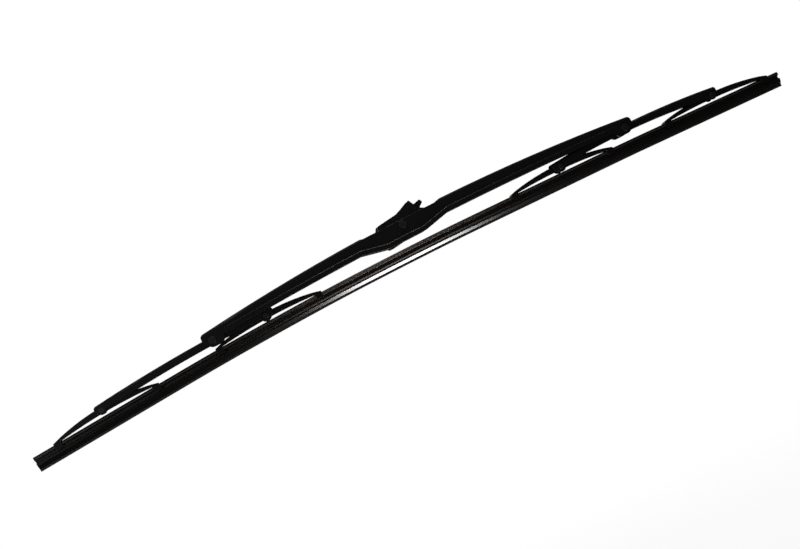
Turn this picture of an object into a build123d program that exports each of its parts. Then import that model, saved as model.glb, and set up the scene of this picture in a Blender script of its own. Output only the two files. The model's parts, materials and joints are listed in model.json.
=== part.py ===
from build123d import *
from math import isclose
import os

# Bracket wiper blade, in millimetres. Sizes are taken along X from the middle of the rubber and
# along Z from the line through the two ends of the lip, with Y across the blade. The finished
# pieces are written in the frame of the cross pin that the arm's adapter turns on.

# Rubber element: its length, and its section from the lip upwards
RUBBER_LENGTH = 600.0
LIP_WIDTH = 0.9
LIP_HEIGHT = 1.5
FLANK_HEIGHT = 2.55
SHOULDER_WIDTH = 5.2
SHOULDER_HEIGHT = 2.2
NECK_WIDTH = 1.2
NECK_HEIGHT = 2.0
FLANGE_WIDTH = 5.4
FLANGE_HEIGHT = 0.9
CORE_WIDTH = 2.0
CAP_WIDTH = 5.0
CAP_HEIGHT = 1.0

# The two spring rails in the grooves of the rubber
RAIL_WIDTH = 2.2
RAIL_THICKNESS = 0.8
RAIL_FIT = 0.05

# Bow of the unloaded rubber: the points where the lip line turns, and the slope of its two ends
BOW_TURNS = [(-160.0, 7.55), (-72.0, 10.4), (15.0, 9.95), (170.0, 5.55)]
BOW_RADIUS = 2200.0
LEFT_END_SLOPE = 0.0561
RIGHT_END_SLOPE = 0.0427

# Claw yokes: four channels, each with a claw on both arms; the arms over the two ends differ
CLAW_SHEET = 0.7
CLAW_BEND = 1.0
CLAW_ARM = 41.7
LEFT_END_ARM = 38.8
RIGHT_END_ARM = 45.6
CLAW_LENGTH = 5.2
CLAW_SIDE_GAP = 0.15
CLAW_TOP_GAP = 0.15
FINGER_GAP = 0.2
FINGER_REACH = 2.3
CLAW_END_RUN = 5.7
CLAW_KNEE_RISE = 2.45
CLAW_CROWN_RISE = 6.35
CLAW_ARCH_RISE = 1.95
CLAW_PIVOT_RISE = 4.15
CLAW_PIVOT_INSET = 54.7
CLAW_PITCH = 127.45

# Secondary yokes: heights of the channel above and below its three pivots
SECONDARY_SHEET = 0.9
SECONDARY_BEND = 1.3
SECONDARY_TOP_OUTER_LEFT = 4.5
SECONDARY_TOP_OUTER_RIGHT = 5.8
SECONDARY_TOP_INNER = 4.6
SECONDARY_TOP_BRIDGE = 2.6
SECONDARY_LOW_CLAW = 1.0
SECONDARY_LOW_BRIDGE = 2.9
SECONDARY_OUTER_EAR = 3.0
SECONDARY_INNER_EAR = 4.0
SECONDARY_OUTER_RUN = 4.6
SECONDARY_INNER_RUN = 6.0
SECONDARY_WEB_SETBACK = 5.0
SECONDARY_NOSE_RADIUS = 2.2

# Main bridge: an arched channel with a deeper middle, a window in its web and an ear at each end
BRIDGE_SHEET = 1.0
BRIDGE_BEND = 1.6
BRIDGE_LEFT_INSET = 141.2
BRIDGE_RIGHT_INSET = 125.8
BRIDGE_PIVOT_Z = 25.6
BRIDGE_END_RUN = 6.8
BRIDGE_TOP_Z = 41.75
BRIDGE_TOP_DROP = 8.97
BRIDGE_LOW_Z = 30.3
BRIDGE_LOW_DROP = 4.78
BRIDGE_EAR_RADIUS = 4.5
BRIDGE_EAR_RUN = 4.6
BRIDGE_NOSE_RADIUS = 3.0
SKIRT_DEPTH = 4.6
SKIRT_FLAT = 29.0
SKIRT_RUN = 21.0
SKIRT_MIDDLE_X = -5.5
SKIRT_RADIUS = 14.0
JOGGLE_HEIGHT = 3.6
JOGGLE_STEP = 0.35
WINDOW_LENGTH = 58.2
WINDOW_MIDDLE_X = -5.1
WINDOW_DROP = 1.3
WINDOW_SLOPE = 4.5

# Rivets and plastic liners at the pivots
RIVET_FIT = 0.05
SIDE_FIT = 0.1
BRIDGE_RIVET_RADIUS = 1.5
BRIDGE_RIVET_HEAD = 2.7
CLAW_RIVET_RADIUS = 1.2
CLAW_RIVET_HEAD = 2.1
RIVET_HEAD_HEIGHT = 0.5
RIVET_CROWN = 0.35
BRIDGE_LINER = 0.7
CLAW_LINER = 0.5
BRIDGE_LINER_LENGTH = 9.0
CLAW_LINER_LENGTH = 6.4

# Cross pin and hook adapter
PIN_X = -4.0
PIN_Z = 37.0
PIN_RADIUS = 2.2
PIN_HEAD_RADIUS = 2.9
PIN_HEAD_HEIGHT = 0.7
ADAPTER_SIDE_GAP = 0.2
HOOK_WIDTH = 9.2
NOSE_RADIUS = 4.2
FINGER_TIP_RADIUS = 1.1
CHEEK_ROUNDING = 1.0
CHEEK_OUTLINE = [
    (-16.6, 6.5), (-0.4, 8.4), (5.0, 10.4), (11.5, 13.3), (13.7, 8.8),
    (17.0, 4.7), (19.8, 3.3), (12.0, -9.6), (-12.0, -12.4), (-15.0, -12.4), (-18.2, -9.2), (-18.8, 2.8),
]
TONGUE_OUTLINE = [(13.5, 9.1), (19.2, 10.5), (20.4, 7.9), (16.8, 5.3), (11.5, -1.2)]


RUBBER_STEPS = [
    LIP_HEIGHT, FLANK_HEIGHT, SHOULDER_HEIGHT, NECK_HEIGHT,
    FLANGE_HEIGHT, RAIL_THICKNESS + 2 * RAIL_FIT, CAP_HEIGHT,
]
Z_LIP, Z_FLANK, Z_SHOULDER, Z_NECK, Z_FLANGE, Z_RAIL, RUBBER_HEIGHT = [
    sum(RUBBER_STEPS[: step + 1]) for step in range(len(RUBBER_STEPS))
]
FINGER_TOP = Z_NECK - RUBBER_HEIGHT - FINGER_GAP
RAIL_OUTER_WIDTH = CORE_WIDTH + 2 * (RAIL_FIT + RAIL_WIDTH)
CLAW_INNER_WIDTH = RAIL_OUTER_WIDTH + 2 * CLAW_SIDE_GAP
CLAW_WIDTH = CLAW_INNER_WIDTH + 2 * CLAW_SHEET
CLAW_LINER_WIDTH = CLAW_WIDTH + 2 * CLAW_LINER
SECONDARY_INNER_WIDTH = CLAW_LINER_WIDTH + 2 * SIDE_FIT
SECONDARY_WIDTH = SECONDARY_INNER_WIDTH + 2 * SECONDARY_SHEET
BRIDGE_LINER_WIDTH = SECONDARY_WIDTH + 2 * BRIDGE_LINER
BRIDGE_INNER_WIDTH = BRIDGE_LINER_WIDTH + 2 * SIDE_FIT
BRIDGE_WIDTH = BRIDGE_INNER_WIDTH + 2 * BRIDGE_SHEET
ADAPTER_WIDTH = BRIDGE_INNER_WIDTH - 2 * ADAPTER_SIDE_GAP
OUTER_PIVOT_X = RUBBER_LENGTH / 2 - CLAW_PIVOT_INSET
INNER_PIVOT_X = OUTER_PIVOT_X - CLAW_PITCH
THROUGH = 4 * BRIDGE_TOP_Z


def lip_line():
    """The bowed line of the lip: straight runs joined by tangent arcs."""
    half = RUBBER_LENGTH / 2
    first, last = BOW_TURNS[0], BOW_TURNS[-1]
    start = (-half, first[1] - (first[0] + half) * LEFT_END_SLOPE)
    end = (half, last[1] - (half - last[0]) * RIGHT_END_SLOPE)
    points = [start, *BOW_TURNS, end]
    return FilletPolyline(*[(x, 0, z) for x, z in points], radius=BOW_RADIUS)


LIP = lip_line()


def lip_point(x):
    """The point of the lip line at a distance x from the middle of the rubber."""
    along = 0.5 + x / RUBBER_LENGTH
    for _ in range(6):
        along += (x - (LIP @ along).X) / LIP.length
    return LIP @ along


def plate(face, width, plane=Plane.XZ):
    """A side-view face made as thick as width, half of it on each side of the middle plane."""
    return extrude(plane * face, amount=width / 2, both=True)


def rounded_plate(face, width, bend, top_radius, plane=Plane.XZ):
    """A plate whose edges along its top arc are rounded, as sheet is where it is bent."""
    body = plate(face, width, plane)
    arcs = body.edges().filter_by(GeomType.CIRCLE)
    return fillet([edge for edge in arcs if isclose(edge.radius, top_radius, rel_tol=1e-4)], bend)


def across(x, z, radius, length):
    """A cylinder that lies across the blade."""
    return Pos(x, 0, z) * Rot(90, 0, 0) * Cylinder(radius, length)


def span_box(x_from, x_to, z_from, z_to):
    """A side-view rectangle between two stations and two heights."""
    return Pos((x_from + x_to) / 2, (z_from + z_to) / 2) * Rectangle(x_to - x_from, z_to - z_from)


def swept(section):
    """A cross-section swept along the lip line."""
    start = Plane(origin=LIP @ 0, x_dir=(0, 1, 0), z_dir=LIP % 0)
    return sweep(start * section, path=LIP)


def squeegee():
    """The rubber: lip, wedge, neck and grooved head."""
    half = [
        (LIP_WIDTH / 2, 0), (LIP_WIDTH / 2, Z_LIP),
        (SHOULDER_WIDTH / 2, Z_FLANK), (SHOULDER_WIDTH / 2, Z_SHOULDER),
        (NECK_WIDTH / 2, Z_SHOULDER), (NECK_WIDTH / 2, Z_NECK),
        (FLANGE_WIDTH / 2, Z_NECK), (FLANGE_WIDTH / 2, Z_FLANGE),
        (CORE_WIDTH / 2, Z_FLANGE), (CORE_WIDTH / 2, Z_RAIL),
        (CAP_WIDTH / 2, Z_RAIL), (CAP_WIDTH / 2, RUBBER_HEIGHT),
    ]
    mirrored = [(-y, z) for y, z in reversed(half)]
    return swept(make_face(Polyline(*half, *mirrored, close=True)))


def rail(side):
    """One flat spring strip in the groove on one side of the rubber."""
    y = side * (CORE_WIDTH / 2 + RAIL_FIT + RAIL_WIDTH / 2)
    z = Z_FLANGE + RAIL_FIT + RAIL_THICKNESS / 2
    return swept(Pos(y, z) * Rectangle(RAIL_WIDTH, RAIL_THICKNESS))


def claw_arms(pivot_x):
    """How far a claw yoke reaches to the left and to the right of its pivot."""
    left = LEFT_END_ARM if pivot_x == -OUTER_PIVOT_X else CLAW_ARM
    right = RIGHT_END_ARM if pivot_x == OUTER_PIVOT_X else CLAW_ARM
    return left, right


def claw_plane(pivot_x):
    """The side-view plane of a claw yoke, with its origin on top of the rubber under the pivot."""
    left_arm, right_arm = claw_arms(pivot_x)
    left = lip_point(pivot_x - left_arm + CLAW_LENGTH / 2)
    right = lip_point(pivot_x + right_arm - CLAW_LENGTH / 2)
    under = left + (right - left) * ((pivot_x - left.X) / (right.X - left.X))
    seat = Plane(origin=under, x_dir=right - left, z_dir=(0, -1, 0))
    return Plane(origin=under + seat.y_dir * RUBBER_HEIGHT, x_dir=seat.x_dir, z_dir=seat.z_dir)


def claw_pivot(pivot_x):
    """Where the rivet of a claw yoke crosses the middle plane."""
    plane = claw_plane(pivot_x)
    return plane.origin + plane.y_dir * CLAW_PIVOT_RISE


def claw_crown(pivot_x):
    """The three points of a claw yoke's top arc."""
    left_arm, right_arm = claw_arms(pivot_x)
    return [(CLAW_END_RUN - left_arm, CLAW_KNEE_RISE), (0, CLAW_CROWN_RISE),
            (right_arm - CLAW_END_RUN, CLAW_KNEE_RISE)]


def claw_outline(pivot_x):
    """The side view of a claw yoke, from the top of the rubber under its pivot."""
    left_arm, right_arm = claw_arms(pivot_x)
    left_root, right_root = CLAW_LENGTH - left_arm, right_arm - CLAW_LENGTH
    crown = claw_crown(pivot_x)
    tip_rise = CLAW_TOP_GAP + CLAW_SHEET
    finger_low = FINGER_TOP - CLAW_SHEET
    return make_face([
        Line((-left_arm, tip_rise), crown[0]),
        ThreePointArc(*crown),
        Polyline(crown[-1], (right_arm, tip_rise), (right_arm, finger_low), (right_root, finger_low),
                 (right_root, CLAW_TOP_GAP)),
        ThreePointArc((right_root, CLAW_TOP_GAP), (0, CLAW_ARCH_RISE), (left_root, CLAW_TOP_GAP)),
        Polyline((left_root, CLAW_TOP_GAP), (left_root, finger_low), (-left_arm, finger_low),
                 (-left_arm, tip_rise)),
    ])


def claw_yoke(pivot_x):
    """A channel that arches over the rubber and grips its head with a claw at each end."""
    plane = claw_plane(pivot_x)
    outline = claw_outline(pivot_x)
    crown = ThreePointArc(*claw_crown(pivot_x))
    channel = rounded_plate(outline, CLAW_WIDTH, CLAW_BEND, crown.radius, plane)
    channel -= plate(Pos(0, -CLAW_SHEET) * outline, CLAW_INNER_WIDTH, plane)
    gap_width = CLAW_INNER_WIDTH - 2 * FINGER_REACH
    for side, arm in zip((-1, 1), claw_arms(pivot_x)):
        middle = side * (arm - CLAW_LENGTH / 2)
        finger = Pos(middle, FINGER_TOP - CLAW_SHEET / 2) * Rectangle(CLAW_LENGTH, CLAW_SHEET)
        channel += plate(finger, CLAW_INNER_WIDTH, plane) - plate(finger, gap_width, plane)
    pivot = claw_pivot(pivot_x)
    return channel - across(pivot.X, pivot.Z, CLAW_RIVET_RADIUS + RIVET_FIT, THROUGH)


def rivet(x, z, radius, head_radius, head_height, grip):
    """A headed pin across the blade, with its heads on the faces that it holds."""
    pin = across(x, z, radius, grip + 2 * head_height)
    for side in (-1, 1):
        pin += Pos(0, side * (grip + head_height) / 2, 0) * across(x, z, head_radius, head_height)
    ends = pin.faces().sort_by(Axis.Y)
    return fillet([*ends[0].edges(), *ends[-1].edges()], RIVET_CROWN)


def liner(pivot, top, length, carrier, width, wall, hole_radius):
    """A plastic saddle over a pivoted channel, with a rounded cheek on each side."""
    cheek = span_box(-length / 2, length / 2, 0, top + wall) + Circle(length / 2)
    saddle = plate(Pos(pivot.X, pivot.Z) * cheek, width + 2 * wall) - carrier
    saddle -= plate(Pos(pivot.X, pivot.Z - length) * Rectangle(2 * length, 2 * length), width)
    return saddle - across(pivot.X, pivot.Z, hole_radius, THROUGH)


def claw_liner(pivot_x):
    """The saddle between a claw yoke and its secondary yoke."""
    carrier = plate(claw_outline(pivot_x), CLAW_WIDTH, claw_plane(pivot_x))
    return liner(claw_pivot(pivot_x), CLAW_CROWN_RISE - CLAW_PIVOT_RISE, CLAW_LINER_LENGTH, carrier,
                 CLAW_WIDTH, CLAW_LINER, CLAW_RIVET_RADIUS + RIVET_FIT)


def bridge_pivot(side):
    """Where the rivet of a secondary yoke crosses the middle plane."""
    inset = BRIDGE_LEFT_INSET if side < 0 else BRIDGE_RIGHT_INSET
    return Vector(side * (RUBBER_LENGTH / 2 - inset), 0, BRIDGE_PIVOT_Z)


def arc_band(top, low, ends, nose_radius):
    """The side view between two arcs, each through three points, with its upper corners rounded."""
    upper, lower = ThreePointArc(*top), ThreePointArc(*low)
    above = Pos(upper.arc_center) * Circle(upper.radius)
    below = Pos(lower.arc_center) * Circle(lower.radius)
    band = (above - below) & span_box(*ends, -THROUGH, THROUGH)
    corners = band.vertices().sort_by(Axis.X)
    noses = [max(pair, key=lambda corner: corner.Y) for pair in (corners[:2], corners[-2:])]
    return fillet(noses, nose_radius)


def secondary_top(side):
    """The three points of a secondary yoke's top arc."""
    outer = claw_pivot(side * OUTER_PIVOT_X)
    inner = claw_pivot(side * INNER_PIVOT_X)
    middle = bridge_pivot(side)
    top_outer = SECONDARY_TOP_OUTER_LEFT if side < 0 else SECONDARY_TOP_OUTER_RIGHT
    return [(outer.X, outer.Z + top_outer), (middle.X, middle.Z + SECONDARY_TOP_BRIDGE),
            (inner.X, inner.Z + SECONDARY_TOP_INNER)]


def secondary_outline(side):
    """The side view of a secondary yoke: a band between two arcs, with an ear at each end."""
    outer = claw_pivot(side * OUTER_PIVOT_X)
    inner = claw_pivot(side * INNER_PIVOT_X)
    middle = bridge_pivot(side)
    low = [(outer.X, outer.Z - SECONDARY_LOW_CLAW), (middle.X, middle.Z - SECONDARY_LOW_BRIDGE),
           (inner.X, inner.Z - SECONDARY_LOW_CLAW)]
    ends = sorted([outer.X + side * SECONDARY_OUTER_RUN, inner.X - side * SECONDARY_INNER_RUN])
    outline = arc_band(secondary_top(side), low, ends, SECONDARY_NOSE_RADIUS)
    for pivot, radius in ((outer, SECONDARY_OUTER_EAR), (inner, SECONDARY_INNER_EAR)):
        outline += Pos(pivot.X, pivot.Z) * Circle(radius)
    return outline


def secondary_yoke(side):
    """A channel that rocks in the end of the bridge and carries two claw yokes."""
    outer = claw_pivot(side * OUTER_PIVOT_X)
    inner = claw_pivot(side * INNER_PIVOT_X)
    middle = bridge_pivot(side)
    outline = secondary_outline(side)
    hollow = Pos(0, -SECONDARY_SHEET) * outline
    ends = ((outer, -side, SECONDARY_OUTER_RUN), (inner, side, SECONDARY_INNER_RUN))
    for pivot, inward, end_run in ends:
        mouth = sorted([pivot.X - inward * end_run, pivot.X + inward * SECONDARY_WEB_SETBACK])
        hollow += span_box(*mouth, -THROUGH, THROUGH)
    crown = ThreePointArc(*secondary_top(side))
    channel = rounded_plate(outline, SECONDARY_WIDTH, SECONDARY_BEND, crown.radius)
    channel -= plate(hollow, SECONDARY_INNER_WIDTH)
    for pivot in (outer, inner):
        channel -= across(pivot.X, pivot.Z, CLAW_RIVET_RADIUS + RIVET_FIT, THROUGH)
    return channel - across(middle.X, middle.Z, BRIDGE_RIVET_RADIUS + RIVET_FIT, THROUGH)


def bridge_liner(side):
    """The saddle between a secondary yoke and the bridge."""
    carrier = plate(secondary_outline(side), SECONDARY_WIDTH)
    return liner(bridge_pivot(side), SECONDARY_TOP_BRIDGE, BRIDGE_LINER_LENGTH, carrier,
                 SECONDARY_WIDTH, BRIDGE_LINER, BRIDGE_RIVET_RADIUS + RIVET_FIT)


def bridge_arc(height, drop):
    """Three points of an arc that crowns in the middle of the bridge and drops towards its pivots."""
    left, right = bridge_pivot(-1), bridge_pivot(1)
    return [(left.X, height - drop), ((left.X + right.X) / 2, height), (right.X, height - drop)]


def bridge_outline():
    """The side view of the bridge: an arched band with a deeper middle and an ear at each end."""
    left, right = bridge_pivot(-1), bridge_pivot(1)
    ends = (left.X - BRIDGE_END_RUN, right.X + BRIDGE_END_RUN)
    low = bridge_arc(BRIDGE_LOW_Z, BRIDGE_LOW_DROP)
    band = arc_band(bridge_arc(BRIDGE_TOP_Z, BRIDGE_TOP_DROP), low, ends, BRIDGE_NOSE_RADIUS)
    half_flat = SKIRT_FLAT / 2
    half_skirt = half_flat + SKIRT_RUN
    skirt_low = BRIDGE_LOW_Z - SKIRT_DEPTH
    skirt = make_face(Polyline(
        (-half_skirt, BRIDGE_LOW_Z), (-half_flat, skirt_low), (half_flat, skirt_low),
        (half_skirt, BRIDGE_LOW_Z), (0, BRIDGE_TOP_Z - WINDOW_DROP), close=True,
    ))
    skirt = fillet(skirt.vertices().sort_by(Axis.Y)[:2], SKIRT_RADIUS)
    outline = band + Pos(SKIRT_MIDDLE_X, 0) * skirt
    ear = SlotCenterToCenter(BRIDGE_EAR_RUN, 2 * BRIDGE_EAR_RADIUS)
    for pivot, inward in ((left, 1), (right, -1)):
        outline += Pos(pivot.X + inward * BRIDGE_EAR_RUN / 2, pivot.Z) * ear
    return outline


def bridge_window():
    """The opening in the web over the adapter, with sloped ends."""
    window_z = BRIDGE_TOP_Z - WINDOW_DROP
    half_low = WINDOW_LENGTH / 2
    half_top = half_low + WINDOW_SLOPE
    window = make_face(Polyline(
        (-half_low, window_z), (half_low, window_z), (half_top, BRIDGE_TOP_Z), (-half_top, BRIDGE_TOP_Z),
        close=True,
    ))
    return Pos(WINDOW_MIDDLE_X, 0) * window


def main_bridge():
    """The arched channel, with a joggled lower edge, an open window and holes for its pins."""
    left, right = bridge_pivot(-1), bridge_pivot(1)
    outline = bridge_outline()
    crown = ThreePointArc(*bridge_arc(BRIDGE_TOP_Z, BRIDGE_TOP_DROP))
    ear_end = BRIDGE_EAR_RADIUS + BRIDGE_END_RUN
    joggled = span_box(left.X + ear_end, right.X - ear_end, 0, THROUGH)
    joggle = (outline - Pos(0, JOGGLE_HEIGHT) * outline) & joggled
    channel = rounded_plate(outline, BRIDGE_WIDTH, BRIDGE_BEND, crown.radius)
    channel += plate(joggle, BRIDGE_WIDTH + 2 * JOGGLE_STEP)
    hollow = Pos(0, -BRIDGE_SHEET) * outline
    for pivot, outward in ((left, -1), (right, 1)):
        mouth = sorted([pivot.X, pivot.X + outward * 2 * BRIDGE_END_RUN])
        hollow += span_box(*mouth, 0, pivot.Z + BRIDGE_EAR_RADIUS)
    channel -= plate(hollow, BRIDGE_INNER_WIDTH)
    channel -= plate(bridge_window(), THROUGH)
    opening = (WINDOW_MIDDLE_X - WINDOW_LENGTH / 2, WINDOW_MIDDLE_X + WINDOW_LENGTH / 2)
    channel -= plate(span_box(*opening, BRIDGE_LOW_Z, BRIDGE_TOP_Z), BRIDGE_INNER_WIDTH)
    for pivot in (left, right):
        channel -= across(pivot.X, pivot.Z, BRIDGE_RIVET_RADIUS + RIVET_FIT, THROUGH)
    return channel - across(PIN_X, PIN_Z, PIN_RADIUS + RIVET_FIT, THROUGH)


def hook_adapter():
    """Two cheeks that keep the arm's hook in line, and the tongue that the hook wraps round."""
    seat = Plane(origin=(PIN_X, 0, PIN_Z), x_dir=(1, 0, 0), z_dir=(0, -1, 0))
    cheek = make_face(Polyline(*CHEEK_OUTLINE, close=True))
    cheek = fillet(cheek.vertices(), CHEEK_ROUNDING)
    tongue = make_face(Polyline((0, NOSE_RADIUS), *TONGUE_OUTLINE, (0, -NOSE_RADIUS), close=True))
    tip = tongue.vertices().sort_by(Axis.X)[-2:]
    tongue = fillet(tip, FINGER_TIP_RADIUS) + Circle(NOSE_RADIUS)
    cheeks = plate(cheek, ADAPTER_WIDTH, seat) - plate(cheek, HOOK_WIDTH, seat)
    body = cheeks + plate(tongue, HOOK_WIDTH, seat)
    return body - across(PIN_X, PIN_Z, PIN_RADIUS + RIVET_FIT, THROUGH)


def blade():
    """Every piece of the blade, by name."""
    pieces = {
        "main_bridge": main_bridge(),
        "adapter_pin": rivet(PIN_X, PIN_Z, PIN_RADIUS, PIN_HEAD_RADIUS, PIN_HEAD_HEIGHT, BRIDGE_WIDTH),
        "hook_adapter": hook_adapter(),
        "squeegee": squeegee(),
        "front_rail": rail(-1),
        "back_rail": rail(1),
    }
    for name, side in (("left", -1), ("right", 1)):
        pivot = bridge_pivot(side)
        pieces[f"{name}_secondary"] = secondary_yoke(side)
        pieces[f"{name}_bridge_rivet"] = rivet(
            pivot.X, pivot.Z, BRIDGE_RIVET_RADIUS, BRIDGE_RIVET_HEAD, RIVET_HEAD_HEIGHT, BRIDGE_WIDTH)
        pieces[f"{name}_bridge_liner"] = bridge_liner(side)
        for place, station in (("outer", OUTER_PIVOT_X), ("inner", INNER_PIVOT_X)):
            pivot = claw_pivot(side * station)
            pieces[f"{name}_{place}_claw"] = claw_yoke(side * station)
            pieces[f"{name}_{place}_claw_rivet"] = rivet(
                pivot.X, pivot.Z, CLAW_RIVET_RADIUS, CLAW_RIVET_HEAD, RIVET_HEAD_HEIGHT, SECONDARY_WIDTH)
            pieces[f"{name}_{place}_claw_liner"] = claw_liner(side * station)
    return pieces


os.makedirs("parts", exist_ok=True)
for node, piece in blade().items():
    export_step(Pos(-PIN_X, 0, -PIN_Z) * piece, f"parts/{node}.step")
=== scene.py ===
"""Dresses the bracket wiper blade: its rubber and rails in stretches, the finish of each piece, and a
studio.
"""
import json
import math
from typing import NamedTuple

import bpy
from bpy.props import FloatProperty, FloatVectorProperty, IntProperty, PointerProperty
from mathutils import Matrix, Vector
from mathutils.bvhtree import BVHTree


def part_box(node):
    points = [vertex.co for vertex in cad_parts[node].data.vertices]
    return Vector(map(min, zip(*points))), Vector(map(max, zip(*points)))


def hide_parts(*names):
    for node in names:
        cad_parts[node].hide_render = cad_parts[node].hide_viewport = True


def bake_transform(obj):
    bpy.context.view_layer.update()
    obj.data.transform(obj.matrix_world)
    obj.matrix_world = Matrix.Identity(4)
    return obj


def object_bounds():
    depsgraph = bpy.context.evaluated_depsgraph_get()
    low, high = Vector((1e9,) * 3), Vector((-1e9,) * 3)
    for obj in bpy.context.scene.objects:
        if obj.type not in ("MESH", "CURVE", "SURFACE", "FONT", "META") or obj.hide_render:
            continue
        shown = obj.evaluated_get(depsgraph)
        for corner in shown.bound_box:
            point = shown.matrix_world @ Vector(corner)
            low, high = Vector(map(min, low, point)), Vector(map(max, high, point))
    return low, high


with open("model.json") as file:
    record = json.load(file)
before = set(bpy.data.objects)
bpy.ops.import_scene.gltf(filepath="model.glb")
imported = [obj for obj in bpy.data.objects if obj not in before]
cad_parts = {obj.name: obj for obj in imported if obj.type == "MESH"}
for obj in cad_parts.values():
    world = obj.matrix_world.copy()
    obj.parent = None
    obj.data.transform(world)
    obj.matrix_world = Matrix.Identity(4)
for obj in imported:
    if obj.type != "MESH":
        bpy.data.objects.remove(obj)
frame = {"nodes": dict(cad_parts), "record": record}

bl_info = {
    "name": "Wiper Blade",
    "version": (1, 0, 0),
    "blender": (4, 5, 0),
    "location": "View3D > Sidebar > Wiper Blade",
    "description": "Dresses a bracket wiper blade with its rubber, rails, finishes and studio",
    "category": "Object",
}

CAD_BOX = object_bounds()
WHITE = (1.0, 1.0, 1.0, 1.0)

# Camera: the picture's width in pixels, the sensor's in millimetres, and the nearest distance seen
IMAGE_WIDTH = 800
SENSOR_WIDTH_MM = 36.0
NEAREST_SEEN = 0.01

# Sweeping: the points on a rounded corner, the most of a side that one corner takes, the sharpest edge
# that is shaded smooth, how far under the lip its line is looked for, and the mark that a section leaves
CORNER_STEPS = 4
CORNER_LIMIT = 0.45
SMOOTH_ANGLE = math.radians(35.0)
LOOK_UP_FROM = 1.0
SECTION_HEIGHT = "section_height"

# Shared effects: the scale of the patches against the grain's, how far a face looks up before dust lies on
# it and the grain of the dust, the rays that look for an edge, how well a rounded normal agrees with the
# face where an edge starts and where it is full, and the strength of every bump
PATCH_SCALE = 0.03
DUST_SLOPE = 0.5
DUST_GRAIN = 140.0
EDGE_SAMPLES = 6
EDGE_START = 0.98
EDGE_FULL = 0.80
BUMP_STRENGTH = 0.35

# Floor: its two shades and their grain, its roughness, and the share of its radius where the fade begins
FLOOR_SHADES = ((0.86, 0.86, 0.86, 1.0), (0.90, 0.90, 0.90, 1.0))
FLOOR_GRAIN = 6.0
FLOOR_ROUGHNESS = 0.9
FLOOR_FADE = 0.3

# Room in the reflections: how far a direction leads away from the camera where the room is still dim and
# where it has turned into the backdrop
ROOM_DIM = -0.1
ROOM_BRIGHT = 0.6


class Finish(NamedTuple):
    """Figures of one finish: grain in cells a metre, sizes in metres, lightness against its own colour."""

    grain: float
    bump: float
    roughness: tuple
    patches: tuple
    streaks: tuple = (0.0, 0.0)
    edge_radius: float = 0.0
    edge_lightness: float = 1.0
    edge_roughness: float = 0.0
    metallic: float = 0.0
    specular: float = 0.5


BRIDGE_PAINT = Finish(
    grain=1400.0, bump=0.00003, roughness=(0.48, 0.66), patches=(0.7, 1.4),
    edge_radius=0.0005, edge_lightness=2.6, edge_roughness=0.25, specular=0.12)
YOKE_PAINT = BRIDGE_PAINT._replace(roughness=(0.50, 0.68))
CLAW_PAINT = BRIDGE_PAINT._replace(roughness=(0.52, 0.70))
# The rivets' rims are ten times lighter: partly rubbed metal, partly a painted glint.
OXIDE = Finish(
    grain=2600.0, bump=0.00004, roughness=(0.50, 0.62), patches=(0.6, 1.5),
    edge_radius=0.0006, edge_lightness=10.0, edge_roughness=0.18, metallic=0.3, specular=0.35)
ROLLED_STEEL = Finish(
    grain=900.0, bump=0.000001, roughness=(0.22, 0.32), patches=(0.55, 1.3),
    streaks=(5200.0, 60.0), metallic=0.4)
ADAPTER_PLASTIC = Finish(
    grain=2400.0, bump=0.00005, roughness=(0.36, 0.52), patches=(0.75, 1.35),
    edge_radius=0.0003, edge_lightness=2.2, specular=0.1)
LINER_PLASTIC = ADAPTER_PLASTIC._replace(grain=3200.0, roughness=(0.44, 0.60))
GRAPHITE_FILM = Finish(
    grain=1800.0, bump=0.000001, roughness=(0.17, 0.23), patches=(0.1, 1.6), streaks=(2600.0, 22.0))

# Stains on the rails, by their share and lightness, and the roughness of rubber that carries no film
STAIN_SHARE = (0.0, 0.5)
STAIN_LIGHTNESS = 0.4
BARE_RUBBER = (0.68, 0.82)


def length(name, description, default):
    """A size in metres that a user may change."""
    return FloatProperty(name=name, description=description, default=default, precision=5, unit="LENGTH")


def angle(name, description, degrees):
    """An angle that a user may change, given in degrees."""
    return FloatProperty(name=name, description=description, default=math.radians(degrees), unit="ROTATION")


def place(name, description, default):
    """A point, in metres, that a user may change."""
    return FloatVectorProperty(
        name=name, description=description, default=default, size=3, precision=5,
        subtype="XYZ", unit="LENGTH")


def sides(name, description, default):
    """The two sides of a rectangle, in metres, that a user may change."""
    return FloatVectorProperty(
        name=name, description=description, default=default, size=2, precision=5, unit="LENGTH")


def colour(name, description, default):
    """A linear colour that a user may change."""
    return FloatVectorProperty(
        name=name, description=description, default=default, size=3, min=0.0, max=1.0, subtype="COLOR")


def share(name, description, default):
    """A share between nothing and all that a user may change."""
    return FloatProperty(
        name=name, description=description, default=default, min=0.0, max=1.0, subtype="FACTOR")


def power(name, description, default):
    """The power of a lamp, in watts, that a user may change."""
    return FloatProperty(name=name, description=description, default=default, min=0.0, subtype="POWER")


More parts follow.
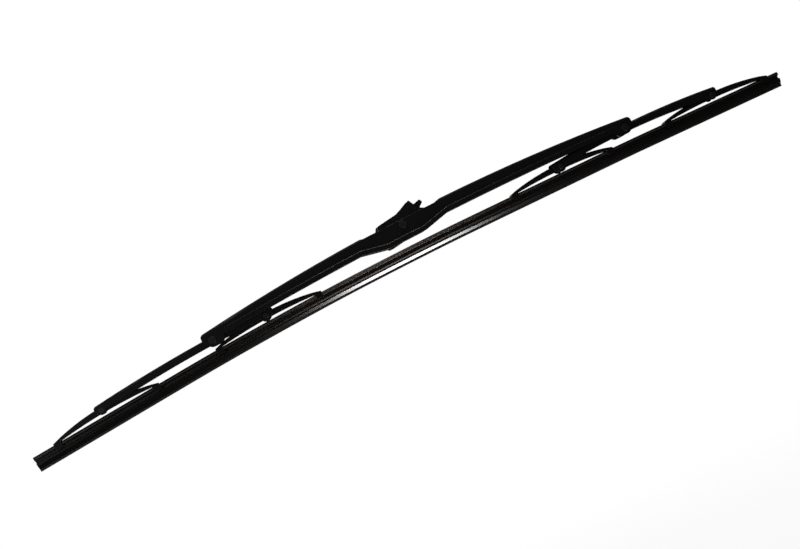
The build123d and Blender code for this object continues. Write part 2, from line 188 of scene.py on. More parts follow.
class RubberSettings(bpy.types.PropertyGroup):
    """Section of the rubber and of its two rails, from the lip upwards, and the stretches they are swept in.
    """

    lip_width: length("Lip Width", "Width of the wiping edge", 0.0009)
    lip_height: length("Lip Height", "Height of the straight wiping edge", 0.0017)
    flank_height: length("Flank Height", "Height of the sloped flank over the lip", 0.00235)
    shoulder_width: length("Shoulder Width", "Width of the wedge at its shoulder", 0.0052)
    shoulder_height: length("Shoulder Height", "Height of the upright shoulder", 0.0022)
    neck_width: length("Neck Width", "Width of the hinge neck", 0.0012)
    neck_height: length("Neck Height", "Height of the hinge neck", 0.0020)
    flange_width: length("Flange Width", "Width of the flange under the rails", 0.0054)
    flange_height: length("Flange Height", "Height of the flange under the rails", 0.0009)
    core_width: length("Core Width", "Width of the rubber between the rails", 0.0020)
    cap_width: length("Cap Width", "Width of the cap over the rails", 0.0050)
    cap_height: length("Cap Height", "Height of the cap over the rails", 0.0010)
    rail_width: length("Rail Width", "Width of one spring rail", 0.0022)
    rail_thickness: length("Rail Thickness", "Thickness of one spring rail", 0.0008)
    rail_fit: length("Rail Fit", "Clearance of a rail in its groove", 0.00005)
    corner: length("Corner", "Rounding of the moulded corners", 0.00022)
    shoulder_round: length("Shoulder Rounding", "Rounding between the shoulder and the flank", 0.0007)
    neck_round: length("Neck Rounding", "Rounding of the neck into the shoulder and the flange", 0.0009)
    edge: length("Edge", "Rounding of the cut edges", 0.00006)
    spacing: length("Spacing", "Distance between the cross-sections along the blade", 0.0025)
    stations: IntProperty(name="Stations", description="Points read off the CAD lip line", default=25, min=4)
    bend_inset: length("Bend Inset", "How far inside a claw's foot the rubber starts to bend", 0.004)
    bend_share: share("Bend Share", "Share of the run to the middle that bends with the inner claws", 0.35)


class FinishSettings(bpy.types.PropertyGroup):
    """Colours of the finishes."""

    paint: colour("Paint", "Satin black paint on the pressed steel", (0.0012, 0.0012, 0.0013))
    rivet: colour("Rivet", "Blackened steel of the rivets and the cross pin", (0.0022, 0.0022, 0.0024))
    rail: colour("Rail", "Dark spring steel of the rails", (0.030, 0.026, 0.025))
    plastic: colour("Plastic", "Moulded black plastic of the adapter", (0.0016, 0.0016, 0.0017))
    liner: colour("Liner", "Black nylon of the liners", (0.004, 0.004, 0.004))
    rubber: colour("Rubber", "Black rubber", (0.0008, 0.0007, 0.0006))
    graphite: colour("Graphite", "Graphite film on the rubber", (0.0026, 0.0020, 0.0018))
    dust: colour("Dust", "Dust that settles on upper faces", (0.30, 0.285, 0.26))
    dust_share: share("Dust Share", "How much dust lies on upper faces", 0.05)


class StudioSettings(bpy.types.PropertyGroup):
    """Camera, floor, backdrop and lamps, with places measured from the cross pin."""

    target: place("Target", "Point of the blade in the middle of the picture", (-0.01717, 0.0, -0.03064))
    distance: length("Distance", "From the camera to the target", 0.88235)
    azimuth: angle("Azimuth", "Turn of the camera round the blade, towards the right end", -8.643)
    elevation: angle("Elevation", "Height of the camera over the horizon", 0.0)
    roll: angle("Roll", "Roll of the camera, which makes the right end of the blade rise", 27.456)
    focal_pixels: FloatProperty(
        name="Focal Length", description="Focal length in pixels of the picture", default=1247.0,
        subtype="PIXEL")
    floor_drop: length("Floor Drop", "From the lip down to the floor", 0.40)
    floor_radius: length("Floor Radius", "Radius at which the floor has faded into the backdrop", 0.9)
    floor_glow: share("Floor Glow", "Share of the backdrop in the floor's brightness to the camera", 0.7)
    ambient: share("Ambient", "Strength of the light from all round", 0.70)
    dimness: share("Dimness", "Brightness of the room behind the camera, as a share of the backdrop", 0.02)
    overhead_power: power("Overhead Power", "Power of the softbox over the blade", 3.0)
    overhead_place: place("Overhead Place", "Place of the softbox over the blade", (0.1, -0.15, 0.8))
    overhead_size: sides("Overhead Size", "Size of the softbox over the blade", (0.9, 0.5))
    strip_power: power("Strip Power", "Power of the strip lamp under the blade", 1.1)
    strip_place: place("Strip Place", "Place of the strip lamp, from the lip", (0.042, -0.055, -0.30))
    strip_size: sides("Strip Size", "Size of the strip lamp under the blade", (0.145, 0.06))
    glint_power: power("Glint Power", "Power of the strip lamp over the middle of the blade", 0.45)
    glint_place: place("Glint Place", "Place of the strip lamp over the blade", (0.01, -0.055, 0.32))
    glint_size: sides("Glint Size", "Size of the strip lamp over the blade", (0.14, 0.04))
    fill_power: power("Fill Power", "Power of the small softbox behind the camera", 0.70)
    fill_place: place("Fill Place", "Place of the small softbox behind the camera", (0.152, -1.2, 0.0))
    fill_size: sides("Fill Size", "Size of the small softbox behind the camera", (0.224, 0.13))
    fill_tint: colour("Fill Tint", "Warm tint of the small softbox behind the camera", (1.0, 0.82, 0.74))
    rim_power: power("Rim Power", "Power of the upright lamp beside the camera", 0.8)
    rim_place: place("Rim Place", "Place of the upright lamp beside the camera", (-0.47, -0.37, 0.0))
    rim_size: sides("Rim Size", "Size of the upright lamp beside the camera", (0.04, 0.24))


def add(tree, kind, inputs=None, **settings):
    """A node with its settings made and its inputs, by name or by number, set or linked."""
    node = tree.nodes.new(kind)
    for name, value in settings.items():
        setattr(node, name, value)
    for name, value in (inputs or {}).items():
        if isinstance(value, bpy.types.NodeSocket):
            tree.links.new(value, node.inputs[name])
        else:
            node.inputs[name].default_value = value
    return node


def calculate(tree, operation, first, second=0.0):
    """The outcome of one arithmetic operation on one or two values."""
    return add(tree, "ShaderNodeMath", {0: first, 1: second}, operation=operation).outputs[0]


def scaled(tree, vector, scale):
    """A vector with a scale of its own along each axis."""
    return add(tree, "ShaderNodeVectorMath", {0: vector, 1: scale}, operation="MULTIPLY").outputs[0]


def ramp(tree, value, start, full):
    """A value turned into a share, which is nothing at start and all at full."""
    inputs = {"Value": value, "From Min": start, "From Max": full}
    return add(tree, "ShaderNodeMapRange", inputs).outputs["Result"]


def spread(tree, value, low, high):
    """A value from 0 to 1 spread between low and high."""
    inputs = {"Value": value, "To Min": low, "To Max": high}
    return add(tree, "ShaderNodeMapRange", inputs).outputs["Result"]


def blend_values(tree, factor, first, second):
    """A value between two, by a factor."""
    return add(tree, "ShaderNodeMix", {0: factor, 2: first, 3: second}).outputs[0]


def blend_colours(tree, factor, first, second):
    """A colour between two, by a factor."""
    return add(tree, "ShaderNodeMix", {0: factor, 6: first, 7: second}, data_type="RGBA").outputs[2]


def opaque(tint, lightness=1.0):
    """A colour setting as a node takes it, made lighter or darker."""
    return (*(channel * lightness for channel in tint), 1.0)


def effect_group(name, inputs, outputs):
    """An empty effect for materials, with its named sockets, and its input and output nodes."""
    tree = bpy.data.node_groups.new(name, "ShaderNodeTree")
    for socket, kind in inputs:
        tree.interface.new_socket(socket, in_out="INPUT", socket_type=kind)
    for socket, kind in outputs:
        tree.interface.new_socket(socket, in_out="OUTPUT", socket_type=kind)
    return tree, tree.nodes.new("NodeGroupInput").outputs, tree.nodes.new("NodeGroupOutput").inputs


def skin_effect():
    """Fine skin of paint or of a moulding, with broad patches that are duller."""
    tree, given, made = effect_group(
        "fine_skin",
        [("Vector", "NodeSocketVector"), ("Scale", "NodeSocketFloat")],
        [("Height", "NodeSocketFloat"), ("Patch", "NodeSocketFloat")])
    vector, scale = given["Vector"], given["Scale"]
    broad = calculate(tree, "MULTIPLY", scale, PATCH_SCALE)
    fine = add(tree, "ShaderNodeTexNoise", {"Vector": vector, "Scale": scale, "Detail": 2.0})
    patch = add(tree, "ShaderNodeTexNoise", {"Vector": vector, "Scale": broad, "Detail": 4.0})
    tree.links.new(fine.outputs["Fac"], made["Height"])
    tree.links.new(patch.outputs["Fac"], made["Patch"])
    return tree


def streak_effect():
    """Fine streaks along the blade, as drawing or wiping leaves them."""
    tree, given, made = effect_group(
        "long_streaks",
        [("Vector", "NodeSocketVector"), ("Across", "NodeSocketFloat"), ("Along", "NodeSocketFloat")],
        [("Streak", "NodeSocketFloat")])
    scale = add(tree, "ShaderNodeCombineXYZ",
                {"X": given["Along"], "Y": given["Across"], "Z": given["Across"]}).outputs[0]
    stretched = scaled(tree, given["Vector"], scale)
    noise = add(tree, "ShaderNodeTexNoise", {"Vector": stretched, "Scale": 1.0, "Detail": 3.0})
    tree.links.new(noise.outputs["Fac"], made["Streak"])
    return tree


def dust_effect():
    """Mask of the dust that settles where a face looks up."""
    tree, given, made = effect_group(
        "settled_dust",
        [("Vector", "NodeSocketVector"), ("Share", "NodeSocketFloat")],
        [("Mask", "NodeSocketFloat")])
    normal = add(tree, "ShaderNodeNewGeometry").outputs["Normal"]
    up = add(tree, "ShaderNodeSeparateXYZ", {0: normal}).outputs["Z"]
    shelf = ramp(tree, up, DUST_SLOPE, 1.0)
    cloud = add(tree, "ShaderNodeTexNoise", {"Vector": given["Vector"], "Scale": DUST_GRAIN, "Detail": 6.0})
    lain = calculate(tree, "MULTIPLY", shelf, cloud.outputs["Fac"])
    tree.links.new(calculate(tree, "MULTIPLY", lain, given["Share"]), made["Mask"])
    return tree


def edge_effect():
    """Mask of the edges, and a normal that rounds them."""
    tree, given, made = effect_group(
        "soft_edges",
        [("Radius", "NodeSocketFloat")],
        [("Mask", "NodeSocketFloat"), ("Normal", "NodeSocketVector")])
    rounded = add(tree, "ShaderNodeBevel", {"Radius": given["Radius"]}, samples=EDGE_SAMPLES).outputs[0]
    flat = add(tree, "ShaderNodeNewGeometry").outputs["Normal"]
    both = {0: rounded, 1: flat}
    agreement = add(tree, "ShaderNodeVectorMath", both, operation="DOT_PRODUCT").outputs["Value"]
    tree.links.new(ramp(tree, agreement, EDGE_START, EDGE_FULL), made["Mask"])
    tree.links.new(rounded, made["Normal"])
    return tree


EFFECTS = {
    "fine_skin": skin_effect, "long_streaks": streak_effect,
    "settled_dust": dust_effect, "soft_edges": edge_effect,
}


def effect(tree, name, inputs):
    """A shared effect, placed in a material with values of its own."""
    group = bpy.data.node_groups.get(name) or EFFECTS[name]()
    return add(tree, "ShaderNodeGroup", inputs, node_tree=group).outputs


def blank_material(name):
    """A new material with nothing in it, its Object coordinates, its shader and its output."""
    material = bpy.data.materials.new(name)
    material.use_nodes = True
    tree = material.node_tree
    tree.nodes.clear()
    vector = add(tree, "ShaderNodeTexCoord").outputs["Object"]
    shader = add(tree, "ShaderNodeBsdfPrincipled")
    output = add(tree, "ShaderNodeOutputMaterial", {"Surface": shader.outputs["BSDF"]})
    return material, tree, vector, shader, output


def finish_surface(tree, shader, finish, base, roughness, height, normal=None):
    """Gives a shader its colour, gloss and roughness, and a bump, over rounded edges if there are any."""
    relief = {"Height": height, "Strength": BUMP_STRENGTH, "Distance": finish.bump}
    bump = add(tree, "ShaderNodeBump", relief)
    if normal is not None:
        tree.links.new(normal, bump.inputs["Normal"])
    tree.links.new(base, shader.inputs["Base Color"])
    tree.links.new(roughness, shader.inputs["Roughness"])
    tree.links.new(bump.outputs["Normal"], shader.inputs["Normal"])
    shader.inputs["Metallic"].default_value = finish.metallic
    shader.inputs["Specular IOR Level"].default_value = finish.specular


def patched(tree, mask, tint, finish):
    """A colour that varies between the darkest and the lightest patch of a finish."""
    dark, light = finish.patches
    return blend_colours(tree, mask, opaque(tint, dark), opaque(tint, light))


def painted_steel(name, finishes, finish):
    """Satin black paint with a fine orange peel, thinner, greyer and glossier along the edges."""
    material, tree, vector, shader, _ = blank_material(name)
    skin = effect(tree, "fine_skin", {"Vector": vector, "Scale": finish.grain})
    edges = effect(tree, "soft_edges", {"Radius": finish.edge_radius})
    dust = effect(tree, "settled_dust", {"Vector": vector, "Share": finishes.dust_share})
    paint = patched(tree, skin["Patch"], finishes.paint, finish)
    thinned = blend_colours(tree, edges["Mask"], paint, opaque(finishes.paint, finish.edge_lightness))
    dusty = blend_colours(tree, dust["Mask"], thinned, opaque(finishes.dust))
    satin = spread(tree, skin["Patch"], *finish.roughness)
    roughness = blend_values(tree, edges["Mask"], satin, finish.edge_roughness)
    finish_surface(tree, shader, finish, dusty, roughness, skin["Height"], edges["Normal"])
    tree.links.new(edges["Mask"], shader.inputs["Coat Weight"])
    shader.inputs["Coat Roughness"].default_value = finish.edge_roughness
    return material


def blackened_steel(name, finishes, finish):
    """Dark oxide on the rivets, with fine hammer marks and rims lighter in colour, partly rubbed metal and
    partly a painted glint.
    """
    material, tree, vector, shader, _ = blank_material(name)
    skin = effect(tree, "fine_skin", {"Vector": vector, "Scale": finish.grain})
    edges = effect(tree, "soft_edges", {"Radius": finish.edge_radius})
    oxide = patched(tree, skin["Patch"], finishes.rivet, finish)
    # Lighter rims: partly rubbed metal, partly a painted glint.
    rubbed = blend_colours(tree, edges["Mask"], oxide, opaque(finishes.rivet, finish.edge_lightness))
    dull = spread(tree, skin["Patch"], *finish.roughness)
    roughness = blend_values(tree, edges["Mask"], dull, finish.edge_roughness)
    finish_surface(tree, shader, finish, rubbed, roughness, skin["Height"], edges["Normal"])
    return material


def lengthwise_streaks(tree, vector, finish):
    """The streaks of a finish, as fine across the blade and as long along it as the finish says."""
    across, along = finish.streaks
    return effect(tree, "long_streaks", {"Vector": vector, "Across": across, "Along": along})["Streak"]


def spring_steel(name, finishes, finish):
    """Dark rolled steel of the rails, stained, with streaks along them."""
    material, tree, vector, shader, _ = blank_material(name)
    streak = lengthwise_streaks(tree, vector, finish)
    skin = effect(tree, "fine_skin", {"Vector": vector, "Scale": finish.grain})
    rolled = patched(tree, streak, finishes.rail, finish)
    stain = spread(tree, skin["Patch"], *STAIN_SHARE)
    stained = blend_colours(tree, stain, rolled, opaque(finishes.rail, STAIN_LIGHTNESS))
    roughness = spread(tree, streak, *finish.roughness)
    finish_surface(tree, shader, finish, stained, roughness, streak)
    return material


def moulded_plastic(name, finishes, finish, tint):
    """Black moulded plastic with a fine spark-eroded grain and rubbed edges."""
    material, tree, vector, shader, _ = blank_material(name)
    skin = effect(tree, "fine_skin", {"Vector": vector, "Scale": finish.grain})
    edges = effect(tree, "soft_edges", {"Radius": finish.edge_radius})
    dust = effect(tree, "settled_dust", {"Vector": vector, "Share": finishes.dust_share})
    body = patched(tree, skin["Patch"], tint, finish)
    rubbed = blend_colours(tree, edges["Mask"], body, opaque(tint, finish.edge_lightness))
    dusty = blend_colours(tree, dust["Mask"], rubbed, opaque(finishes.dust))
    roughness = spread(tree, skin["Height"], *finish.roughness)
    finish_surface(tree, shader, finish, dusty, roughness, skin["Height"], edges["Normal"])
    return material


def film_mask_with_neck_shade(tree, rubber):
    """Mask of the rubber's open faces, which leaves out its cut lip, and leaves out its hinge neck as
    painted shade in that recess.
    """
    height = add(tree, "ShaderNodeAttribute", attribute_name=SECTION_HEIGHT).outputs["Fac"]
    half_neck = rubber.neck_height / 2
    neck_middle = rubber.lip_height + rubber.flank_height + rubber.shoulder_height + half_neck
    over_lip = ramp(tree, height, rubber.lip_height - rubber.corner, rubber.lip_height)
    # The hinge neck gets no film and stays darker: painted shade in its recess.
    from_neck = calculate(tree, "ABSOLUTE", calculate(tree, "SUBTRACT", height, neck_middle))
    outside_neck_shade = ramp(tree, from_neck, half_neck - rubber.corner, half_neck)
    return calculate(tree, "MULTIPLY", over_lip, outside_neck_shade)


def graphite_rubber(name, finishes, finish, rubber):
    """Black rubber with a brownish graphite film on its open faces, rubbed into streaks along the blade, and
    a darker bare neck as painted shade.
    """
    material, tree, vector, shader, _ = blank_material(name)
    streak = lengthwise_streaks(tree, vector, finish)
    skin = effect(tree, "fine_skin", {"Vector": vector, "Scale": finish.grain})
    film_and_neck_shade = film_mask_with_neck_shade(tree, rubber)
    rubbed = spread(tree, calculate(tree, "MULTIPLY", streak, skin["Patch"]), *finish.patches)
    film = calculate(tree, "MULTIPLY", rubbed, film_and_neck_shade)
    base = blend_colours(tree, film, opaque(finishes.rubber), opaque(finishes.graphite))
    matte = spread(tree, skin["Patch"], *BARE_RUBBER)
    slick = spread(tree, streak, *finish.roughness)
    finish_surface(tree, shader, finish, base, blend_values(tree, film_and_neck_shade, matte, slick), skin["Height"])
    return material


def finish_materials(scene):
    """The material of every slot of the record, made once."""
    finishes = scene.blade_finishes
    makers = {
        "bridge_paint": lambda name: painted_steel(name, finishes, BRIDGE_PAINT),
        "yoke_paint": lambda name: painted_steel(name, finishes, YOKE_PAINT),
        "claw_paint": lambda name: painted_steel(name, finishes, CLAW_PAINT),
        "rivet_steel": lambda name: blackened_steel(name, finishes, OXIDE),
        "rail_steel": lambda name: spring_steel(name, finishes, ROLLED_STEEL),
        "adapter_plastic": lambda name: moulded_plastic(name, finishes, ADAPTER_PLASTIC, finishes.plastic),
        "liner_plastic": lambda name: moulded_plastic(name, finishes, LINER_PLASTIC, finishes.liner),
        "rubber": lambda name: graphite_rubber(name, finishes, GRAPHITE_FILM, scene.blade_rubber),
    }
    materials = {}
    for slot, make in makers.items():
        name = f"blade_{slot}"
        materials[slot] = bpy.data.materials.get(name) or make(name)
    return materials


def lip_line(count):
    """Points of the lip line, read off the underside of the CAD rubber from end to end."""
    mesh = frame["nodes"]["squeegee"].data
    corners = [vertex.co for vertex in mesh.vertices]
    left = min((corner for corner in corners if corner.x < 0), key=lambda corner: corner.z)
    right = min((corner for corner in corners if corner.x > 0), key=lambda corner: corner.z)
    underside = BVHTree.FromPolygons(corners, [face.vertices[:] for face in mesh.polygons])
    points = [Vector((left.x, 0.0, left.z))]
    for step in range(1, count - 1):
        along = left.x + (right.x - left.x) * step / (count - 1)
        hit = underside.ray_cast(Vector((along, 0.0, left.z - LOOK_UP_FROM)), Vector((0.0, 0.0, 1.0)))[0]
        if hit is None:
            raise RuntimeError("the CAD rubber has a gap in its lip")
        points.append(hit)
    return [*points, Vector((right.x, 0.0, right.z))]


def rounded_outline(corners):
    """A closed outline whose corners, each given with its own rounding, are drawn as short curves."""
    outline = []
    for index, (here, rounding) in enumerate(corners):
        before, after = corners[index - 1][0], corners[(index + 1) % len(corners)][0]
        here, before, after = Vector(here), Vector(before), Vector(after)
        start = here + (before - here).normalized() * min(rounding, (before - here).length * CORNER_LIMIT)
        end = here + (after - here).normalized() * min(rounding, (after - here).length * CORNER_LIMIT)
        for step in range(CORNER_STEPS + 1):
            along = step / CORNER_STEPS
            outline.append(start.lerp(here, along).lerp(here.lerp(end, along), along))
    return outline


def rubber_outlines(rubber):
    """The section of the rubber as one closed outline, anticlockwise, with Y across and Z up."""
    groove = rubber.rail_thickness + 2 * rubber.rail_fit
    corner = rubber.corner
    half, z = [], 0.0
    for width, rise, rounding in (
            (rubber.lip_width, 0.0, rubber.edge),
            (rubber.lip_width, rubber.lip_height, corner),
            (rubber.shoulder_width, rubber.flank_height, rubber.shoulder_round),
            (rubber.shoulder_width, rubber.shoulder_height, corner),
            (rubber.neck_width, 0.0, rubber.neck_round),
            (rubber.neck_width, rubber.neck_height, rubber.neck_round),
            (rubber.flange_width, 0.0, rubber.edge),
            (rubber.flange_width, rubber.flange_height, corner),
            (rubber.core_width, 0.0, corner),
            (rubber.core_width, groove, corner),
            (rubber.cap_width, 0.0, corner),
            (rubber.cap_width, rubber.cap_height, corner)):
        z += rise
        half.append(((width / 2, z), rounding))
    mirrored = [((-y, z), rounding) for (y, z), rounding in reversed(half)]
    return [rounded_outline([*half, *mirrored])]


def rail_outlines(rubber):
    """The sections of the two rails, in the grooves of the rubber."""
    low = (rubber.lip_height + rubber.flank_height + rubber.shoulder_height + rubber.neck_height
           + rubber.flange_height + rubber.rail_fit)
    high = low + rubber.rail_thickness
    inner = rubber.core_width / 2 + rubber.rail_fit
    outer = inner + rubber.rail_width
    outlines = []
    for near, far in ((inner, outer), (-outer, -inner)):
        corners = [(near, low), (far, low), (far, high), (near, high)]
        outlines.append(rounded_outline([(corner, rubber.edge) for corner in corners]))
    return outlines


def section_curve(outlines):
    """A flat curve with the given closed outlines, turned as the sweep takes it."""
    data = bpy.data.curves.new("section", "CURVE")
    for outline in outlines:
        spline = data.splines.new("POLY")
        spline.points.add(len(outline) - 1)
        spline.use_cyclic_u = True
        for point, corner in zip(spline.points, outline):
            point.co = (-corner.x, -corner.y, 0.0, 1.0)
    section = bpy.data.objects.new("section", data)
    bpy.context.scene.collection.objects.link(section)
    return section


def sweep_tree():
    """Geometry nodes that sweep a section along a stretch of the lip line and mark the section's height."""
    tree = bpy.data.node_groups.new("swept_stretch", "GeometryNodeTree")
    for socket, kind in (
            ("Lip Line", "NodeSocketGeometry"), ("Section", "NodeSocketObject"),
            ("Spacing", "NodeSocketFloat"), ("From", "NodeSocketFloat"), ("To", "NodeSocketFloat"),
            ("Finish", "NodeSocketMaterial")):
        tree.interface.new_socket(socket, in_out="INPUT", socket_type=kind)
    tree.interface.new_socket("Stretch", in_out="OUTPUT", socket_type="NodeSocketGeometry")
    given = tree.nodes.new("NodeGroupInput").outputs
    line = add(tree, "GeometryNodeMeshToCurve", {"Mesh": given["Lip Line"]}).outputs[0]
    smooth = add(tree, "GeometryNodeCurveSplineType", {"Curve": line}, spline_type="CATMULL_ROM").outputs[0]
    even = add(tree, "GeometryNodeResampleCurve",
               {"Curve": smooth, "Length": given["Spacing"]}, mode="LENGTH").outputs[0]
    limits = {"Curve": even, 2: given["From"], 3: given["To"]}
    stretch = add(tree, "GeometryNodeTrimCurve", limits).outputs[0]
    upright = add(tree, "GeometryNodeSetCurveNormal", {"Curve": stretch}, mode="Z_UP").outputs[0]
    section = add(tree, "GeometryNodeObjectInfo", {"Object": given["Section"]}).outputs["Geometry"]
    position = add(tree, "GeometryNodeInputPosition").outputs[0]
    depth = add(tree, "ShaderNodeSeparateXYZ", {0: position}).outputs["Y"]
    height = calculate(tree, "MULTIPLY", depth, -1.0)
    marked = add(tree, "GeometryNodeStoreNamedAttribute",
                 {"Geometry": section, "Name": SECTION_HEIGHT, "Value": height}).outputs[0]
    swept = add(tree, "GeometryNodeCurveToMesh",
                {"Curve": upright, "Profile Curve": marked, "Fill Caps": True}).outputs[0]
    real = add(tree, "GeometryNodeRealizeInstances", {"Geometry": swept}).outputs[0]
    finished = add(tree, "GeometryNodeSetMaterial",
                   {"Geometry": real, "Material": given["Finish"]}).outputs[0]
    tree.links.new(finished, tree.nodes.new("NodeGroupOutput").inputs["Stretch"])
    return tree


def swept_stretch(name, points, section, spacing, x_from, x_to, material):
    """A plain mesh of the section, swept along the lip line between two stations."""
    mesh = bpy.data.meshes.new(name)
    mesh.from_pydata(points, [(index, index + 1) for index in range(len(points) - 1)], [])
    piece = bpy.data.objects.new(name, mesh)
    bpy.context.scene.collection.objects.link(piece)
    tree = bpy.data.node_groups.get("swept_stretch") or sweep_tree()
    left, right = points[0].x, points[-1].x
    values = {
        "Section": section, "Spacing": spacing, "Finish": material,
        "From": (x_from - left) / (right - left), "To": (x_to - left) / (right - left),
    }
    modifier = piece.modifiers.new("sweep", "NODES")
    modifier.node_group = tree
    for socket in tree.interface.items_tree:
        if socket.name in values:
            modifier[socket.identifier] = values[socket.name]
    bpy.context.view_layer.update()
    made = bpy.data.meshes.new_from_object(piece.evaluated_get(bpy.context.evaluated_depsgraph_get()))
    if not made.polygons:
        raise RuntimeError(f"{name} came out empty")
    piece.modifiers.clear()
    piece.data = made
    made.shade_smooth()
    made.set_sharp_from_angle(angle=SMOOTH_ANGLE)
    return piece


def bending_stretches(rubber, left_end, right_end):
    """The stretches of the rubber: name, two ends, the two bodies it bends between, and where it bends."""
    middle = (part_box("left_inner_claw")[1].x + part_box("right_inner_claw")[0].x) / 2
    for side, end, near, far, inset in (
            ("left", left_end, 1, 0, rubber.bend_inset), ("right", right_end, 0, 1, -rubber.bend_inset)):
        outer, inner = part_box(f"{side}_outer_claw"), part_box(f"{side}_inner_claw")
        yoke = f"{side}_secondary_yoke"
        outer_yoke, inner_yoke = f"{side}_outer_claw_yoke", f"{side}_inner_claw_yoke"
        between = (outer[near].x + inner[far].x) / 2
        held = (inner[near].x + inner[far].x) / 2
        free = inner[near].x + (middle - inner[near].x) * rubber.bend_share
        yield f"{side}_tip", end, between, outer_yoke, yoke, outer[near].x - inset, between
        yield f"{side}_grip", between, held, yoke, inner_yoke, between, inner[far].x + inset
        yield f"{side}_run", held, free, inner_yoke, yoke, inner[near].x - inset, free
        yield f"{side}_middle", free, middle, yoke, "frame", free, middle


def bending_strip(prefix, outlines, rubber, material, nodes):
    """A strip along the lip line, made of one piece for each stretch, which hides the CAD pieces it stands
    for.
    """
    points = lip_line(rubber.stations)
    section = section_curve(outlines)
    for name, first, last, body, next_body, bend_from, bend_to in bending_stretches(
            rubber, points[0].x, points[-1].x):
        low, high = sorted((first, last))
        piece = swept_stretch(f"{prefix}_{name}", points, section, rubber.spacing, low, high, material)
        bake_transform(piece)
        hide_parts(*nodes)
    bpy.data.objects.remove(section)


class BLADE_OT_squeegee(bpy.types.Operator):
    """Make the rubber, swept along its lip line in one piece for each stretch"""

    bl_idname = "blade.squeegee"
    bl_label = "Rubber"

    def execute(self, context):
        rubber = context.scene.blade_rubber
        finish = finish_materials(context.scene)["rubber"]
        bending_strip("rubber", rubber_outlines(rubber), rubber, finish, ["squeegee"])
        return {"FINISHED"}


class BLADE_OT_rails(bpy.types.Operator):
    """Make the two spring rails in the grooves of the rubber"""

    bl_idname = "blade.rails"
    bl_label = "Rails"

    def execute(self, context):
        rubber = context.scene.blade_rubber
        finish = finish_materials(context.scene)["rail_steel"]
        nodes = ["front_rail", "back_rail"]
        bending_strip("rails", rail_outlines(rubber), rubber, finish, nodes)
        return {"FINISHED"}


class BLADE_OT_finishes(bpy.types.Operator):
    """Give every CAD piece the finish of its material slot"""

    bl_idname = "blade.finishes"
    bl_label = "Finishes"

    def execute(self, context):
        materials = finish_materials(context.scene)
        for subpart in frame["record"]["subparts"]:
            slots = frame["nodes"][subpart["node"]].data.materials
            slots.clear()
            slots.append(materials[subpart["material_slot"]])
        return {"FINISHED"}


def white_world(studio):
    """A white backdrop and an even soft light, with a dim room behind the camera for the reflections."""
    world = bpy.data.worlds.new("studio_white")
    world.use_nodes = True
    tree = world.node_tree
    tree.nodes.clear()
    path = add(tree, "ShaderNodeLightPath").outputs
    direction = add(tree, "ShaderNodeTexCoord").outputs["Generated"]
    away = add(tree, "ShaderNodeSeparateXYZ", {0: direction}).outputs["Y"]
    room = add(tree, "ShaderNodeMapRange", {
        "Value": away, "From Min": ROOM_DIM, "From Max": ROOM_BRIGHT,
        "To Min": studio.dimness, "To Max": 1.0}).outputs["Result"]
    mirrored = calculate(tree, "MAXIMUM", path["Is Glossy Ray"], path["Is Transmission Ray"])
    lit = blend_values(tree, mirrored, studio.ambient, room)
    strength = calculate(tree, "MAXIMUM", path["Is Camera Ray"], lit)
    white = add(tree, "ShaderNodeBackground", {"Color": WHITE, "Strength": strength})
    add(tree, "ShaderNodeOutputWorld", {"Surface": white.outputs[0]})
    return world


def floor_material(studio):
    """A pale floor that takes shadows, looks nearly as white as the backdrop and fades into it."""
    material, tree, vector, shader, output = blank_material("floor_pale")
    mottle = add(tree, "ShaderNodeTexNoise", {"Vector": vector, "Scale": FLOOR_GRAIN}).outputs["Fac"]
    tree.links.new(blend_colours(tree, mottle, *FLOOR_SHADES), shader.inputs["Base Color"])
    shader.inputs["Roughness"].default_value = FLOOR_ROUGHNESS
    path = add(tree, "ShaderNodeLightPath").outputs
    glow = calculate(tree, "MULTIPLY", path["Is Camera Ray"], studio.floor_glow)
    white = add(tree, "ShaderNodeEmission", {"Color": WHITE, "Strength": 1.0}).outputs[0]
    lit = add(tree, "ShaderNodeMixShader", {0: glow, 1: shader.outputs["BSDF"], 2: white}).outputs[0]
    flat = scaled(tree, vector, (1.0, 1.0, 0.0))
    reach = add(tree, "ShaderNodeVectorMath", {0: flat}, operation="LENGTH").outputs["Value"]
    edge = {"Value": reach, "From Min": studio.floor_radius * FLOOR_FADE, "From Max": studio.floor_radius}
    fade = add(tree, "ShaderNodeMapRange", edge, interpolation_type="SMOOTHSTEP").outputs["Result"]
    clear = add(tree, "ShaderNodeBsdfTransparent").outputs[0]
    faded = add(tree, "ShaderNodeMixShader", {0: fade, 1: lit, 2: clear}).outputs[0]
    tree.links.new(faded, output.inputs["Surface"])
    return material


def pale_floor(studio, height):
    """A plain floor under the blade, large enough for its disc to fade out on it."""
    radius = studio.floor_radius
    corners = [(x * radius, y * radius, height) for x, y in ((-1, -1), (1, -1), (1, 1), (-1, 1))]
    mesh = bpy.data.meshes.new("floor")
    mesh.from_pydata(corners, [], [(0, 1, 2, 3)])
    mesh.materials.append(floor_material(studio))
    floor = bpy.data.objects.new("floor", mesh)
    floor.visible_glossy = False
    bpy.context.scene.collection.objects.link(floor)


def area_lamp(name, lamp_place, aim, size, watts, tint=WHITE[:3]):
    """A rectangular soft lamp that looks from its place at a point."""
    data = bpy.data.lights.new(name, "AREA")
    data.shape = "RECTANGLE"
    data.size, data.size_y = size
    data.energy = watts
    data.color = tint
    lamp = bpy.data.objects.new(name, data)
    lamp.visible_camera = False
    turned = (aim - lamp_place).to_track_quat("-Z", "Y").to_matrix().to_4x4()
    lamp.matrix_world = Matrix.Translation(lamp_place) @ turned
    bpy.context.scene.collection.objects.link(lamp)


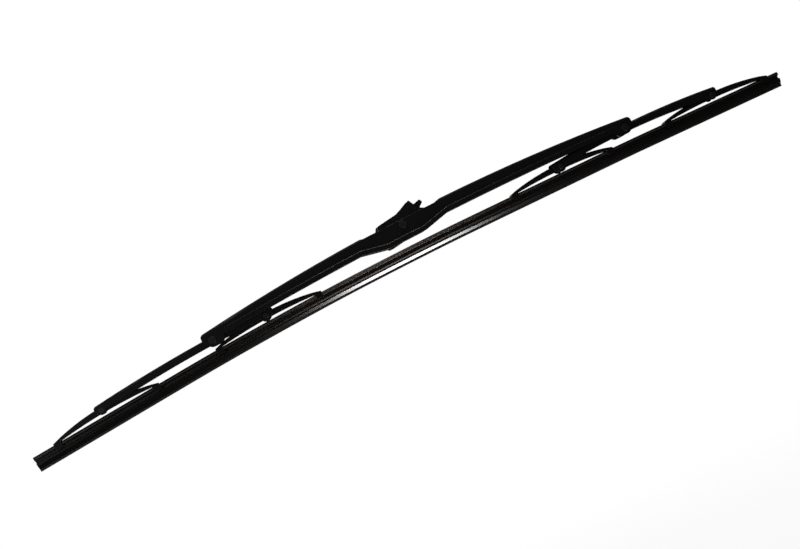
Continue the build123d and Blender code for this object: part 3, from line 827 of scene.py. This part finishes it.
def studio_lamps(studio, lip):
    """The five soft lamps, aimed at the lip in the middle of the blade or at the cross pin."""
    pin = Vector()
    over = Vector(studio.overhead_place)
    under = Vector(studio.strip_place) + lip
    area_lamp("overhead_softbox", over, lip, studio.overhead_size, studio.overhead_power)
    area_lamp("under_strip", under, lip, studio.strip_size, studio.strip_power)
    area_lamp("over_strip", Vector(studio.glint_place), pin, studio.glint_size, studio.glint_power)
    area_lamp("camera_softbox", Vector(studio.fill_place), pin, studio.fill_size, studio.fill_power,
              tint=studio.fill_tint)
    area_lamp("side_rim", Vector(studio.rim_place), pin, studio.rim_size, studio.rim_power)


def photo_camera(studio):
    """The camera at the photograph's viewing angle, rolled as the picture is."""
    turn, tilt = studio.azimuth, studio.elevation
    back = Vector((math.sin(turn) * math.cos(tilt), -math.cos(turn) * math.cos(tilt), math.sin(tilt)))
    level = Vector((math.cos(turn), math.sin(turn), 0.0))
    upright = back.cross(level)
    right = math.cos(studio.roll) * level - math.sin(studio.roll) * upright
    data = bpy.data.cameras.new("camera")
    data.sensor_width = SENSOR_WIDTH_MM
    data.lens = studio.focal_pixels / IMAGE_WIDTH * SENSOR_WIDTH_MM
    data.clip_start = NEAREST_SEEN
    camera = bpy.data.objects.new("camera", data)
    axes = Matrix((right, back.cross(right), back)).transposed().to_4x4()
    camera.matrix_world = Matrix.Translation(Vector(studio.target) + studio.distance * back) @ axes
    bpy.context.scene.collection.objects.link(camera)
    bpy.context.scene.camera = camera


class BLADE_OT_studio(bpy.types.Operator):
    """Set up the white background, the floor, the lamps and the camera"""

    bl_idname = "blade.studio"
    bl_label = "Studio"

    def execute(self, context):
        studio = context.scene.blade_studio
        context.scene.view_settings.view_transform = "Standard"
        context.scene.world = white_world(studio)
        lip = Vector((0.0, 0.0, CAD_BOX[0].z))
        pale_floor(studio, lip.z - studio.floor_drop)
        studio_lamps(studio, lip)
        photo_camera(studio)
        return {"FINISHED"}


class BLADE_PT_panel(bpy.types.Panel):
    """The blade's operators and settings"""

    bl_idname = "BLADE_PT_panel"
    bl_label = "Wiper Blade"
    bl_space_type = "VIEW_3D"
    bl_region_type = "UI"
    bl_category = "Wiper Blade"

    def draw(self, context):
        for operator in (BLADE_OT_finishes, BLADE_OT_squeegee, BLADE_OT_rails, BLADE_OT_studio):
            self.layout.operator(operator.bl_idname)
        scene = context.scene
        for settings in (scene.blade_rubber, scene.blade_finishes, scene.blade_studio):
            column = self.layout.column(align=True)
            for name in settings.__annotations__:
                column.prop(settings, name)


CLASSES = (
    RubberSettings, FinishSettings, StudioSettings,
    BLADE_OT_finishes, BLADE_OT_squeegee, BLADE_OT_rails, BLADE_OT_studio, BLADE_PT_panel,
)


def register():
    """Registers the classes and hangs the settings on the scene."""
    for cls in CLASSES:
        bpy.utils.register_class(cls)
    bpy.types.Scene.blade_rubber = PointerProperty(type=RubberSettings)
    bpy.types.Scene.blade_finishes = PointerProperty(type=FinishSettings)
    bpy.types.Scene.blade_studio = PointerProperty(type=StudioSettings)


def unregister():
    """Takes the settings off the scene and unregisters the classes."""
    del bpy.types.Scene.blade_studio
    del bpy.types.Scene.blade_finishes
    del bpy.types.Scene.blade_rubber
    for cls in reversed(CLASSES):
        bpy.utils.unregister_class(cls)


def main():
    """Dresses the blade and sets up the studio."""
    register()
    bpy.ops.blade.finishes()
    bpy.ops.blade.squeegee()
    bpy.ops.blade.rails()
    bpy.ops.blade.studio()


if __name__ == "__main__":
    main()
